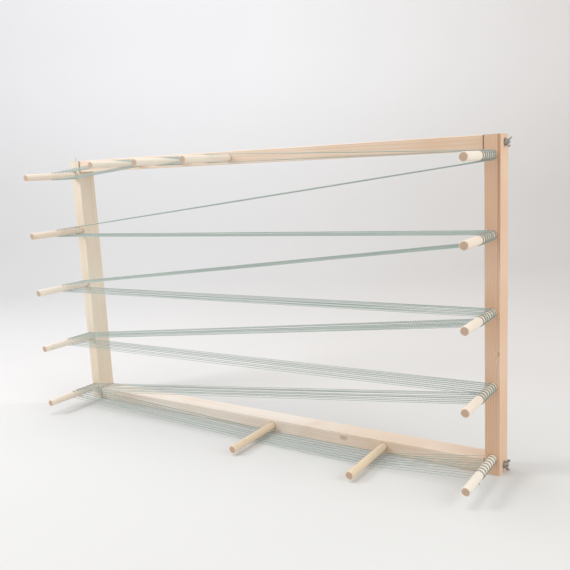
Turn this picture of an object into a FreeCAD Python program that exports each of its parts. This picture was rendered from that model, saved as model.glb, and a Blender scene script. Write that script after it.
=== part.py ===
"""Warping frame: two posts, two rails, fifteen wooden pegs, four screw joints and a wound warp.

Units are millimetres. +X runs along the width, the pegs point toward -Y and +Z is up.
The origin is at the floor, in the middle of the width and of the posts' depth.
"""
import FreeCAD, Part
import math
import os

os.makedirs("parts", exist_ok=True)

V = FreeCAD.Vector
X_AXIS = V(1, 0, 0)
Y_AXIS = V(0, 1, 0)
Z_AXIS = V(0, 0, 1)
tiny = 1e-6
volume_slack = 0.01       # share by which a yarn's tube may miss its section times its length
run_share = 0.45          # share of the shorter run that a tail's arc takes at each corner

# Frame timbers
post_span = 1000.0        # between the centre planes of the two posts
post_width = 27.0         # along X
post_depth = 45.0         # along Y
frame_height = 588.0
rail_height = 26.0
rail_depth = 43.0
rail_inset = 2.0          # rail front behind the post front
edge_round = 1.2          # softened long edges of the timbers

# Pegs
peg_diameter = 15.0
peg_reach = 142.0         # from the timber's face to the free end
peg_seat = 30.0           # in the blind hole
peg_chamfer = 1.2
peg_fit = 0.05            # radial, a push fit
hole_spare = 1.0          # hole deeper than the peg's seat
row_count = 5
row_bottom = 30.0         # from the foot of a post to its lowest peg
row_top = 33.0            # from the head of a post to its highest peg
cross_peg_start = 210.0   # from the left post's middle to the nearest cross peg
cross_peg_pitch = 125.0
cross_peg_count = 3
lower_peg_start = 210.0   # from the right post's middle to the nearest lower peg
lower_peg_pitch = 257.0
lower_peg_count = 2

# Screw joints at the four corners
stud_diameter = 5.0
stud_grip = 40.0          # length screwed into the rail's end grain
stud_tail = 2.0           # thread showing past the nut
stud_chamfer = 0.8
stud_hole_fit = 0.4       # radial, in the post
washer_diameter = 14.0
washer_thickness = 1.4
washer_fit = 0.25         # radial, on the stud
nut_height = 5.5
nut_base_wall = 3.0       # round the stud, at the foot of the hub
nut_top_wall = 1.75       # and at its top
nut_fit = 0.06            # radial, on the stud
wing_span = 20.0
wing_height = 9.5
wing_thickness = 2.4
wing_root = 1.0           # height where the wing leaves the hub
wing_slope = 2.5          # rise of the wing's lower edge
wing_bite = 1.5           # the wing's hold in the hub's wall
wing_round = 0.5
wing_corner = 2.5
wing_turns = {"right_top": -32.0, "right_bottom": -18.0, "left_top": 24.0, "left_bottom": 41.0}

# Wooden dowels that stop each rail from turning round its stud
dowel_diameter = 6.0
dowel_length = 24.0
dowel_spacing = 26.0      # between the pair in one rail end
dowel_fit = 0.05          # radial, in the post's blind hole
dowel_spare = 0.5
dowel_chamfer = 0.6

# Warp yarn
yarn_diameter = 1.0
yarn_gap = 0.4            # between a peg's surface and the yarn that rounds it
end_count = 13
first_end = 7.0           # from the post's face to the first end, along the peg
pair_pitch = 10.6         # the ends lie in pairs along a peg
pair_gap = 2.4            # between the two ends of a pair
tie_step = 1.1            # from the first or last end to the tie that holds it
knot_diameter = 3.6
start_knot_lean = 45.0    # degrees from upright, toward +X
finish_knot_lean = 180.0
start_tail_steps = [(2.5, 0.0, 6.5), (3.5, -0.5, 14.0), (3.0, 0.0, 21.5),
                    (4.0, 0.5, 29.0), (3.0, 0.5, 35.0)]
finish_tail_steps = [(0.5, -0.5, -4.5), (-1.5, 5.0, -9.0), (-4.5, 13.0, -11.0),
                     (-8.0, 21.0, -12.0), (-11.0, 28.5, -13.5)]

# Derived places
post_x = post_span / 2
post_inner = post_x - post_width / 2
post_outer = post_x + post_width / 2
post_front = -post_depth / 2
rail_front = post_front + rail_inset
rail_length = 2 * post_inner
rail_middle = rail_front + rail_depth / 2
rail_levels = {"bottom": rail_height / 2, "top": frame_height - rail_height / 2}
row_pitch = (frame_height - row_bottom - row_top) / (row_count - 1)
row_levels = [row_bottom + row_pitch * row for row in range(row_count)]
cross_places = [cross_peg_start - post_x + cross_peg_pitch * i for i in range(cross_peg_count)]
lower_places = [post_x - lower_peg_start - lower_peg_pitch * i for i in range(lower_peg_count)]
peg_radius = peg_diameter / 2
wrap_radius = peg_radius + yarn_gap + yarn_diameter / 2
sides = {"left": -1, "right": 1}


def save(name, shape):
    """Write one sub-part after checking that it is whole."""
    if not shape.isValid() or shape.Volume <= 0:
        raise RuntimeError("bad solid: " + name)
    shape.exportStep("parts/" + name + ".step")


def rounded_bar(length_x, length_y, length_z, corner, long_axis):
    """A bar with its four long edges rounded."""
    bar = Part.makeBox(length_x, length_y, length_z, corner)
    along = []
    for edge in bar.Edges:
        if edge.tangentAt(edge.FirstParameter).cross(long_axis).Length < tiny:
            along.append(edge)
    return bar.makeFillet(edge_round, along)

def rod(radius, length, start, axis, chamfer_near=0.0, chamfer_far=0.0):
    """A round rod from start along axis, with its ends chamfered where asked."""
    profile = [V(0, 0, 0), V(radius - chamfer_near, 0, 0)]
    if chamfer_near > 0:
        profile.append(V(radius, 0, chamfer_near))
    profile.append(V(radius, 0, length - chamfer_far))
    if chamfer_far > 0:
        profile.append(V(radius - chamfer_far, 0, length))
    profile.append(V(0, 0, length))
    face = Part.Face(Part.makePolygon(profile + [profile[0]]))
    body = face.revolve(V(0, 0, 0), Z_AXIS, 360)
    body.Placement = FreeCAD.Placement(start, FreeCAD.Rotation(Z_AXIS, axis))
    return body


def peg_socket(x, face_y, z):
    """The blind hole for one peg, open at the timber's front face."""
    return rod(peg_radius + peg_fit, peg_seat + hole_spare, V(x, face_y, z), Y_AXIS)


def dowel_places():
    """Where the dowels of one corner sit along Y."""
    return [rail_middle - dowel_spacing / 2, rail_middle + dowel_spacing / 2]


def post(side):
    """One upright with its peg sockets, stud holes and dowel holes."""
    sign = sides[side]
    timber = rounded_bar(post_width, post_depth, frame_height,
                         V(sign * post_x - post_width / 2, post_front, 0), Z_AXIS)
    for level in row_levels:
        timber = timber.cut(peg_socket(sign * post_x, post_front, level))
    for level in rail_levels.values():
        through = rod(stud_diameter / 2 + stud_hole_fit, post_width,
                      V(sign * post_x - post_width / 2, rail_middle, level), X_AXIS)
        timber = timber.cut(through)
        for place in dowel_places():
            blind = rod(dowel_diameter / 2 + dowel_fit, dowel_length / 2 + dowel_spare,
                        V(sign * post_inner, place, level), X_AXIS * sign)
            timber = timber.cut(blind)
    return timber


def rail(level_name, peg_places):
    """One rail with its peg sockets and the holes in its two ends."""
    level = rail_levels[level_name]
    timber = rounded_bar(rail_length, rail_depth, rail_height,
                         V(-post_inner, rail_front, level - rail_height / 2), X_AXIS)
    for place in peg_places:
        timber = timber.cut(peg_socket(place, rail_front, level))
    for sign in sides.values():
        inward = X_AXIS * -sign
        stud_mouth = V(sign * post_inner, rail_middle, level)
        timber = timber.cut(rod(stud_diameter / 2, stud_grip, stud_mouth, inward))
        for place in dowel_places():
            dowel_mouth = V(sign * post_inner, place, level)
            timber = timber.cut(rod(dowel_diameter / 2, dowel_length / 2, dowel_mouth, inward))
    return timber


def peg(x, face_y, z):
    """One turned peg, seated in its socket."""
    return rod(peg_radius, peg_seat + peg_reach, V(x, face_y + peg_seat, z), Y_AXIS * -1,
               peg_chamfer, peg_chamfer)


def stud(sign, level):
    """The threaded stud screwed into a rail end, out through the post, washer and nut."""
    reach = post_width + washer_thickness + nut_height + stud_tail
    start = V(sign * (post_inner - stud_grip), rail_middle, level)
    return rod(stud_diameter / 2, stud_grip + reach, start, X_AXIS * sign, stud_chamfer, stud_chamfer)


def washer(sign, level):
    """The flat washer between a post and its wing nut."""
    seat = V(sign * post_outer, rail_middle, level)
    disc = rod(washer_diameter / 2, washer_thickness, seat, X_AXIS * sign)
    return disc.cut(rod(stud_diameter / 2 + washer_fit, washer_thickness, seat, X_AXIS * sign))


def wing_nut(sign, level, turn):
    """A wing nut: a tapered hub with two rounded wings, turned on its stud."""
    half_span = wing_span / 2
    base_radius = stud_diameter / 2 + nut_base_wall
    top_radius = stud_diameter / 2 + nut_top_wall
    root = top_radius - wing_bite
    shoulder = wing_root + wing_slope
    outline = [V(root, 0, wing_root), V(half_span - wing_corner, 0, shoulder),
               V(half_span, 0, shoulder + wing_corner), V(half_span, 0, wing_height - wing_corner),
               V(half_span - wing_corner, 0, wing_height), V(half_span - 2 * wing_corner, 0, wing_height),
               V(root, 0, nut_height)]
    blade = Part.Face(Part.makePolygon(outline + [outline[0]])).extrude(V(0, wing_thickness, 0))
    blade.translate(V(0, -wing_thickness / 2, 0))
    blade = blade.makeFillet(wing_round, blade_rims(blade))
    other = blade.copy()
    other.rotate(V(0, 0, 0), Z_AXIS, 180)
    hub = Part.makeCone(base_radius, top_radius, nut_height)
    nut = hub.fuse([blade, other]).removeSplitter()
    nut = nut.cut(Part.makeCylinder(stud_diameter / 2 + nut_fit, wing_height))
    nut.rotate(V(0, 0, 0), Z_AXIS, turn)
    seat = V(sign * (post_outer + washer_thickness), rail_middle, level)
    outward = FreeCAD.Placement(seat, FreeCAD.Rotation(Z_AXIS, X_AXIS * sign))
    nut.Placement = outward.multiply(nut.Placement)
    return nut


def blade_rims(blade):
    """The edges round the two flat faces of a wing."""
    rims = []
    for face in blade.Faces:
        if abs(face.normalAt(0, 0).y) > 1 - tiny:
            rims += face.Edges
    return rims


def dowel_pair(sign, level):
    """The two dowels of one corner, half in the rail and half in the post."""
    start = sign * post_inner - sign * dowel_length / 2
    pair = []
    for place in dowel_places():
        foot = V(start, place, level)
        body = rod(dowel_diameter / 2, dowel_length, foot, X_AXIS * sign, dowel_chamfer, dowel_chamfer)
        pair.append(body)
    return Part.makeCompound(pair)


def end_place(index):
    """Where an end lies along Y."""
    return post_front - (first_end + pair_pitch * (index // 2) + pair_gap * (index % 2))


def shared_place(index, other):
    """Where an end lies on a peg on which it meets another one, if there is such an end."""
    if 0 <= other < end_count:
        return (end_place(index) + end_place(other)) / 2
    return end_place(index)


def heading(centre, turn, following, next_turn):
    """Angle of the straight run from one peg to the next; turn is 1 anticlockwise, -1 clockwise."""
    step = following - centre
    sine = -wrap_radius * (next_turn - turn) / step.Length
    return math.atan2(step.z, step.x) + math.asin(sine)


def touch(centre, turn, angle):
    """Where a run with that heading touches the circle that the yarn follows round a peg."""
    return centre + V(math.sin(angle), 0, -math.cos(angle)) * (turn * wrap_radius)


def yarn_along(path, start, direction):
    """A tube of yarn that follows a path, with its volume compared with section times length."""
    section = Part.Wire([Part.makeCircle(yarn_diameter / 2, start, direction)])
    tube = path.makePipeShell([section], True, True)
    expected = path.Length * math.pi * (yarn_diameter / 2) ** 2
    if abs(tube.Volume - expected) > volume_slack * expected:
        raise RuntimeError("the yarn's volume is off")
    return tube


def warp_end(stops):
    """One end of the warp: straight runs from peg to peg and a round turn on each.

    stops lists the pegs in order as (x, y, z, turn), where y is the yarn's place along that peg.
    """
    centres = [V(x, y, z) for x, y, z, _ in stops]
    turns = [turn for _, _, _, turn in stops]
    angles = [heading(centres[i], turns[i], centres[i + 1], turns[i + 1]) for i in range(len(stops) - 1)]
    edges = []
    start_angle = angles[0] - turns[0] * math.pi / 2
    angles_in = [start_angle] + angles
    angles_out = angles + [angles[-1] + turns[-1] * math.pi / 2]
    for i, centre in enumerate(centres):
        bend = (angles_out[i] - angles_in[i]) * turns[i]
        bend = bend % (2 * math.pi)
        entry = touch(centre, turns[i], angles_in[i])
        middle = touch(centre, turns[i], angles_in[i] + turns[i] * bend / 2)
        leave = touch(centre, turns[i], angles_out[i])
        edges.append(Part.Arc(entry, middle, leave).toShape())
        if i + 1 < len(centres):
            arrive = touch(centres[i + 1], turns[i + 1], angles_in[i + 1])
            edges.append(Part.LineSegment(leave, arrive).toShape())
    path = Part.Wire(edges)
    direction = V(math.cos(start_angle), 0, math.sin(start_angle))
    tube = yarn_along(path, touch(centres[0], turns[0], start_angle), direction)
    return tube, path.Length


def warp_stops(index):
    """The pegs that one end rounds, from the lowest right peg up to the top left one.

    Every other end takes the other side of each cross peg and of the two pegs where the warp
    turns back. Two ends that join at such a peg meet there midway between their own places.
    """
    even = index % 2 == 0
    place = end_place(index)
    start_place = shared_place(index, index + 1 if even else index - 1)
    finish_place = shared_place(index, index - 1 if even else index + 1)
    first_turn = -1 if even else 1
    stops = [(post_x, start_place, row_levels[0], first_turn)]
    stops += [(x, place, rail_levels["bottom"], -1) for x in lower_places]
    for row in range(row_count - 1):
        stops.append((-post_x, place, row_levels[row], -1))
        stops.append((post_x, place, row_levels[row + 1], 1))
    turn = -first_turn
    for x in reversed(cross_places):
        stops.append((x, place, rail_levels["top"], turn))
        turn = -turn
    stops.append((-post_x, finish_place, row_levels[-1], -first_turn))
    return stops


def knot_place(centre, out, aside):
    """The middle of a tie's knot, out from the peg and clear of the warp end beside it."""
    step_aside = Y_AXIS * (aside * (knot_diameter - yarn_diameter) / 2)
    return centre + out * (wrap_radius + knot_diameter / 4) + step_aside


def tie(centre, out, aside):
    """A ring of yarn round a peg, with its knot."""
    ring = Part.makeTorus(wrap_radius, yarn_diameter / 2, centre, Y_AXIS)
    knot = Part.makeSphere(knot_diameter / 2, knot_place(centre, out, aside))
    room = rod(peg_radius + yarn_gap, 3 * knot_diameter, centre - Y_AXIS * (1.5 * knot_diameter), Y_AXIS)
    return ring.fuse(knot.cut(room))


def free_tail(start, steps):
    """A short loose tail of yarn: straight runs joined by arcs as large as the runs allow."""
    points = [start] + [start + V(*step) for step in steps]
    edges = []
    last = points[0]
    for before, corner, after in zip(points, points[1:], points[2:]):
        arrive = (corner - before).normalize()
        depart = (after - corner).normalize()
        turn = arrive.getAngle(depart)
        reach = run_share * min(before.distanceToPoint(corner), corner.distanceToPoint(after))
        radius = reach / math.tan(turn / 2)
        entry = corner - arrive * reach
        leave = corner + depart * reach
        inward = (depart - arrive).normalize()
        middle = corner + inward * (radius / math.cos(turn / 2) - radius)
        edges += [Part.LineSegment(last, entry).toShape(), Part.Arc(entry, middle, leave).toShape()]
        last = leave
        print("tail bend radius", round(radius, 1))
    edges.append(Part.LineSegment(last, points[-1]).toShape())
    path = Part.Wire(edges)
    print("tail length", round(path.Length, 1))
    return yarn_along(path, start, points[1] - start)


def save_tied_end(name, centre, aside, lean, steps):
    """One end of the yarn: its tie round a peg and the loose tail beyond the knot."""
    out = V(math.sin(math.radians(lean)), 0, math.cos(math.radians(lean)))
    save(name + "_tie", tie(centre, out, aside))
    exit_point = knot_place(centre, out, aside) + out * (knot_diameter / 2)
    save(name + "_tail", free_tail(exit_point, steps))
    print(name, "tail leaves at", exit_point)


def main():
    """Build and write every sub-part."""
    for side in sides:
        save(side + "_post", post(side))
        for row, level in enumerate(row_levels):
            save("{}_peg_{}".format(side, row_count - row), peg(sides[side] * post_x, post_front, level))
    save("top_rail", rail("top", cross_places))
    save("bottom_rail", rail("bottom", lower_places))
    for i, x in enumerate(cross_places):
        save("cross_peg_{}".format(i + 1), peg(x, rail_front, rail_levels["top"]))
    for i, x in enumerate(lower_places):
        save("lower_peg_{}".format(i + 1), peg(x, rail_front, rail_levels["bottom"]))
    for side, sign in sides.items():
        for level_name, level in rail_levels.items():
            corner = "{}_{}".format(side, level_name)
            save("stud_" + corner, stud(sign, level))
            save("washer_" + corner, washer(sign, level))
            save("wing_nut_" + corner, wing_nut(sign, level, wing_turns[corner]))
            save("dowels_" + corner, dowel_pair(sign, level))
    for i in range(end_count):
        tube, length = warp_end(warp_stops(i))
        save("warp_end_{:02d}".format(i + 1), tube)
        print("warp end", i + 1, "length", round(length, 1), "radius", wrap_radius)
    save_tied_end("start", V(-post_x, end_place(0) + tie_step, row_levels[-1]), 1,
                  start_knot_lean, start_tail_steps)
    save_tied_end("finish", V(post_x, end_place(end_count - 1) - tie_step, row_levels[0]), -1,
                  finish_knot_lean, finish_tail_steps)


main()
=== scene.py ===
"""Warping frame: finishes, yarn, screw fittings, studio and camera.

Metres, in the same frame as the CAD: +X along the width, the pegs point toward -Y, Z up, floor at Z 0.
"""
import math
import random

import bmesh
import bpy
from bpy.props import FloatProperty, FloatVectorProperty, IntProperty, PointerProperty
from mathutils import Matrix, Vector


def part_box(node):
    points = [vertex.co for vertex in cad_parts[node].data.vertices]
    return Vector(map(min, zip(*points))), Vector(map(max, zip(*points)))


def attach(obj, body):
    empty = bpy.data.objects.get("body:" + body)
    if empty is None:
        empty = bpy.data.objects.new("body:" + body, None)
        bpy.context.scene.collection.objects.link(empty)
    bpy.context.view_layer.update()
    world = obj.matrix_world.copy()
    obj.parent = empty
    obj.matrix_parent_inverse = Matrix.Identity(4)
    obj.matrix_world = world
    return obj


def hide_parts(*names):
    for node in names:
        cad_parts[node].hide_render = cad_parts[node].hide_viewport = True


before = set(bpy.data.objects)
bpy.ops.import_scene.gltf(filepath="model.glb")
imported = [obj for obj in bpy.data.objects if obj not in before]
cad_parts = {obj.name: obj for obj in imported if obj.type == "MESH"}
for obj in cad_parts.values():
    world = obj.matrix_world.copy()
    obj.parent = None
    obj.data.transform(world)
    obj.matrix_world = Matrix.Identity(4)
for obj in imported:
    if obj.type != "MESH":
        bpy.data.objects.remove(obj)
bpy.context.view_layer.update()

bl_info = {
    "name": "Warping Frame",
    "version": (1, 0, 0),
    "blender": (4, 5, 0),
    "location": "3D View > Sidebar > Warping Frame",
    "description": "Dresses a wooden warping frame with its finishes, warp yarn and screw fittings",
    "category": "Object",
}

MM = 0.001

# The frame's main places, as the part has them
POST_X = 500 * MM                 # centre plane of each post
POST_WIDTH = 27 * MM
POST_DEPTH = 45 * MM
FRAME_HEIGHT = 588 * MM
RAIL_HEIGHT = 26 * MM
RAIL_INSET = 2 * MM               # rail front behind the post front
RAIL_MIDDLE = 1 * MM              # middle of a rail along Y
POST_FRONT = -POST_DEPTH / 2
POST_INNER = POST_X - POST_WIDTH / 2
POST_OUTER = POST_X + POST_WIDTH / 2
RAIL_LEVELS = {"bottom": RAIL_HEIGHT / 2, "top": FRAME_HEIGHT - RAIL_HEIGHT / 2}
SIDES = {"left": -1, "right": 1}

# Pegs
PEG_RADIUS = 7.5 * MM
PEG_REACH = 142 * MM
ROW_COUNT = 5
ROW_BOTTOM = 30 * MM
ROW_TOP = 33 * MM
ROW_PITCH = (FRAME_HEIGHT - ROW_BOTTOM - ROW_TOP) / (ROW_COUNT - 1)
ROW_LEVELS = [ROW_BOTTOM + ROW_PITCH * row for row in range(ROW_COUNT)]
CROSS_PLACES = [(-290 + 125 * i) * MM for i in range(3)]
LOWER_PLACES = [(290 - 257 * i) * MM for i in range(2)]
RAIL_PEGS = {"top": CROSS_PLACES, "bottom": LOWER_PLACES}

# Each bar's wood: where the tree's middle lies across the grain, the colours of its early and late
# wood as they look on a screen, and its knots by place and radius
BARS = {
    "left_post": ((-0.452, 0.071), (238, 228, 211), (216, 186, 152),
                  [((-0.502, POST_DEPTH / 2, 0.236), 4 * MM)]),
    "right_post": ((0.561, 0.047), (236, 213, 194), (200, 152, 120),
                   [((0.5105, POST_FRONT, 0.221), 2.6 * MM), ((0.4865, 0.012, 0.402), 3.6 * MM)]),
    "top_rail": ((0.052, 0.541), (244, 226, 208), (216, 172, 142),
                 [((0.118, 0.006, FRAME_HEIGHT), 4.4 * MM)]),
    "bottom_rail": ((0.061, -0.043), (251, 243, 233), (214, 184, 160),
                    [((0.203, -0.0205, 0.0155), 5.2 * MM), ((-0.262, 0.0225, 0.011), 4 * MM)]),
}

# Warp yarn
YARN_DIAMETER = 1 * MM
YARN_GAP = 0.4 * MM
WRAP_RADIUS = PEG_RADIUS + YARN_GAP + YARN_DIAMETER / 2
END_COUNT = 13
FIRST_END = 7 * MM
PAIR_PITCH = 10.6 * MM
PAIR_GAP = 2.4 * MM
TIE_STEP = 1.1 * MM
KNOT_DIAMETER = 3.6 * MM
START_LEAN = math.radians(45)
FINISH_LEAN = math.radians(180)
START_STEPS = [(2.5, 0, 6.5), (3.5, -0.5, 14), (3, 0, 21.5), (4, 0.5, 29), (3, 0.5, 35)]
FINISH_STEPS = [(0.5, -0.5, -4.5), (-1.5, 5, -9), (-4.5, 13, -11), (-8, 21, -12), (-11, 28.5, -13.5)]
CURVE_SHARE = 0.975               # a tail's smooth curve against the straight runs between its points
TIE_SHARE = 0.46                  # a tie's strand against the yarn's diameter, since it is pulled tight

# Screw fittings
STUD_RADIUS = 2.5 * MM
STUD_GRIP = 40 * MM
STUD_TAIL = 2 * MM
WASHER_THICKNESS = 1.4 * MM
NUT_HEIGHT = 5.5 * MM
NUT_FIT = 0.06 * MM               # radial, on the stud
NUT_SEGMENTS = 40
WING_TURNS = {"right_top": -32, "right_bottom": -18, "left_top": 24, "left_bottom": 41}


# ---- settings

def length_setting(name, description, default, low=0.0):
    """A length."""
    return FloatProperty(name=name, description=description, default=default, min=low,
                         subtype="DISTANCE", unit="LENGTH")


def angle_setting(name, description, degrees, low=-180.0):
    """An angle, given here in degrees."""
    return FloatProperty(name=name, description=description, default=math.radians(degrees),
                         min=math.radians(low), subtype="ANGLE", unit="ROTATION")


def power_setting(name, place, watts):
    """The power of one soft light."""
    return FloatProperty(name=name, description="Power of the soft light " + place + ", in watts",
                         default=watts, min=0)


class StudioSettings(bpy.types.PropertyGroup):
    """The camera, the light and the backdrop."""

    camera_place: FloatVectorProperty(
        name="Camera place", description="Where the camera stands",
        default=(0.8488, -1.1846, 0.5586), subtype="TRANSLATION", unit="LENGTH")
    camera_yaw: angle_setting(
        "Camera yaw", "Turn of the camera from straight ahead toward the left post", 33.35)
    camera_pitch: angle_setting("Camera pitch", "Tilt of the camera, down is negative", -9.8)
    camera_roll: angle_setting("Camera roll", "Lean of the camera about its own axis", -2.93)
    lens: FloatProperty(
        name="Lens", description="Focal length in millimetres on a 36 mm sensor", default=44.5, min=10)
    key_power: power_setting("Left light", "beside the left post", 24.0)
    side_power: power_setting("Right light", "at the right", 23.0)
    top_power: power_setting("Top light", "overhead", 22.0)
    wall_power: power_setting("Wall light", "on the backdrop", 20.5)
    sky_strength: FloatProperty(
        name="Room light", description="Strength of the even light all round", default=0.6, min=0)
    curve_start: length_setting(
        "Backdrop start", "How far beyond the camera the backdrop begins to curve up", 3.4, 0.5)
    curve_radius: length_setting(
        "Backdrop radius", "Radius of the curve between floor and backdrop", 1.4, 0.1)


class TimberSettings(bpy.types.PropertyGroup):
    """The look of the posts and rails."""

    ring_spacing: length_setting("Ring spacing", "Width of one year's growth", 2.6 * MM, 0.5 * MM)
    ring_contrast: FloatProperty(
        name="Ring contrast", description="How dark the late wood is", default=0.34, min=0, max=1)
    wear_width: length_setting("Edge wear", "Width of the rubbed band along the edges", 1.6 * MM)


class YarnSettings(bpy.types.PropertyGroup):
    """The warp yarn."""

    sides: IntProperty(
        name="Sides", description="Sides of the yarn's round section", default=8, min=3, max=16)
    arc_step: angle_setting("Arc step", "Turn between two points where the yarn rounds a peg", 12, 1)
    run_step: length_setting(
        "Run step", "Distance between two points on a straight run", 16 * MM, 1 * MM)
    wander: length_setting(
        "Wander", "How far a turn may sit from its even place along the peg", 1.2 * MM)
    slack: length_setting("Slack", "Largest sag of a long run", 2.4 * MM)
    slub: FloatProperty(
        name="Slub", description="Share by which the yarn's thickness varies", default=0.12,
        min=0, max=0.3)
    lay_pitch: length_setting("Lay", "Length of one turn of the two plies", 5 * MM, 1 * MM)
    seed: IntProperty(name="Seed", description="Start of the random numbers", default=7, min=0)


class FittingSettings(bpy.types.PropertyGroup):
    """The studs and wing nuts."""

    thread_pitch: length_setting("Thread pitch", "Travel of the thread in one turn", 0.8 * MM, 0.2 * MM)
    thread_depth: length_setting("Thread depth", "From crest to root", 0.42 * MM)
    cast_grain: length_setting(
        "Cast grain", "Size of the cells that round the cast nut's corners", 0.33 * MM, 0.1 * MM)


# ---- node trees

class Value:
    """An output of a node tree that can be used in sums."""

    def __init__(self, tree, socket):
        self.tree = tree
        self.socket = socket

    def sum(self, operation, *others, clamp=False):
        """This value and the others through one Math node."""
        node = self.tree.nodes.new("ShaderNodeMath")
        node.operation = operation
        node.use_clamp = clamp
        for place, item in zip(node.inputs, (self,) + others):
            connect(self.tree, item, place)
        return Value(self.tree, node.outputs[0])

    def __add__(self, other):
        return self.sum("ADD", other)

    def __sub__(self, other):
        return self.sum("SUBTRACT", other)

    def __mul__(self, other):
        return self.sum("MULTIPLY", other)

    def __truediv__(self, other):
        return self.sum("DIVIDE", other)

    def __rsub__(self, other):
        return (self * -1.0) + other

    def __rtruediv__(self, other):
        return self.sum("POWER", -1.0) * other

    def __neg__(self):
        return self * -1.0

    __radd__ = __add__
    __rmul__ = __mul__

    def power(self, other):
        return self.sum("POWER", other)

    def root(self):
        return self.sum("SQRT")

    def size(self):
        return self.sum("ABSOLUTE")

    def least(self, other):
        return self.sum("MINIMUM", other)

    def most(self, other):
        return self.sum("MAXIMUM", other)

    def part(self):
        return self.sum("FRACT")

    def bound(self):
        return self.sum("ADD", 0.0, clamp=True)

    def ramp(self, low, high):
        """0 at low and beyond, 1 at high and beyond, smooth between them."""
        node = self.tree.nodes.new("ShaderNodeMapRange")
        node.interpolation_type = "SMOOTHSTEP"
        connect(self.tree, self, node.inputs["Value"])
        node.inputs["From Min"].default_value = min(low, high)
        node.inputs["From Max"].default_value = max(low, high)
        node.inputs["To Min"].default_value = 0.0 if low < high else 1.0
        node.inputs["To Max"].default_value = 1.0 if low < high else 0.0
        return Value(self.tree, node.outputs["Result"])


def connect(tree, item, place):
    """Give an input a number, a colour or another node's output."""
    if isinstance(item, Value):
        tree.links.new(item.socket, place)
    elif item is not None:
        place.default_value = item


def add_node(tree, kind, settings=None, inputs=None, output=0):
    """A node with its settings made first and then its inputs, given by name or number."""
    node = tree.nodes.new(kind)
    for key, item in (settings or {}).items():
        setattr(node, key, item)
    for key, item in (inputs or {}).items():
        connect(tree, item, node.inputs[key])
    return Value(tree, node.outputs[output])


def split(vector):
    """The three parts of a vector."""
    node = vector.tree.nodes.new("ShaderNodeSeparateXYZ")
    connect(vector.tree, vector, node.inputs[0])
    return [Value(vector.tree, place) for place in node.outputs]


def join(tree, x, y, z):
    """A vector from three parts."""
    return add_node(tree, "ShaderNodeCombineXYZ", None, {0: x, 1: y, 2: z})


def stretch(vector, scale):
    """A vector with each part scaled."""
    return add_node(vector.tree, "ShaderNodeVectorMath", {"operation": "MULTIPLY"},
                    {0: vector, 1: scale})


def noise(vector, scale, detail=2.0, roughness=0.5):
    """Smooth noise from 0 to 1."""
    return add_node(vector.tree, "ShaderNodeTexNoise", {"noise_dimensions": "3D"},
                    {"Vector": vector, "Scale": scale, "Detail": detail, "Roughness": roughness})


def blend(share, first, second):
    """The first colour where share is 0 and the second where it is 1."""
    node = share.tree.nodes.new("ShaderNodeMix")
    node.data_type = "RGBA"
    colours = [place for place in node.inputs if place.type == "RGBA"]
    connect(share.tree, share, node.inputs[0])
    connect(share.tree, first, colours[0])
    connect(share.tree, second, colours[1])
    return Value(share.tree, [place for place in node.outputs if place.type == "RGBA"][0])


def relief(height, distance, strength=1.0):
    """Small relief of the surface; height runs from 0 to 1 and distance is its depth in metres."""
    return add_node(height.tree, "ShaderNodeBump", None,
                    {"Height": height, "Distance": distance, "Strength": strength})


def colour(red, green, blue):
    """A colour as it looks on a screen, 0 to 255, turned to the linear values that a shader takes."""
    shares = [part / 255 for part in (red, green, blue)]
    linear = [part / 12.92 if part <= 0.04045 else ((part + 0.055) / 1.055) ** 2.4 for part in shares]
    return (*linear, 1.0)


def new_material(name):
    """A material with one Principled shader; gives the material, its tree and the shader."""
    material = bpy.data.materials.new(name)
    material.use_nodes = True
    tree = material.node_tree
    shader = next(node for node in tree.nodes if node.type == "BSDF_PRINCIPLED")
    return material, tree, shader


def wire(tree, shader, base, rough, bumps, shine):
    """Give a shader its colour, roughness and relief, and how strongly its surface shines."""
    connect(tree, base, shader.inputs["Base Color"])
    connect(tree, rough, shader.inputs["Roughness"])
    connect(tree, bumps, shader.inputs["Normal"])
    shader.inputs["Specular IOR Level"].default_value = shine


def object_place(tree):
    """The place on the object, in metres."""
    return add_node(tree, "ShaderNodeTexCoord", None, None, "Object")


# ---- materials

def distance_from(parts, centre):
    """Distance of the parts of a place from a centre, one number for each."""
    squares = [(part - middle).power(2.0) for part, middle in zip(parts, centre)]
    return sum(squares[1:], squares[0]).root()


def by_grain(grain, across, along):
    """Three scales, one of them along the grain."""
    return [along if axis == grain else across for axis in range(3)]


def deeper(tint):
    """The same wood's colour, a little deeper and redder, used for the wood's own variation and for
    painted shade.
    """
    return [part * share for part, share in zip(tint, (0.94, 0.87, 0.8))]


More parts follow.
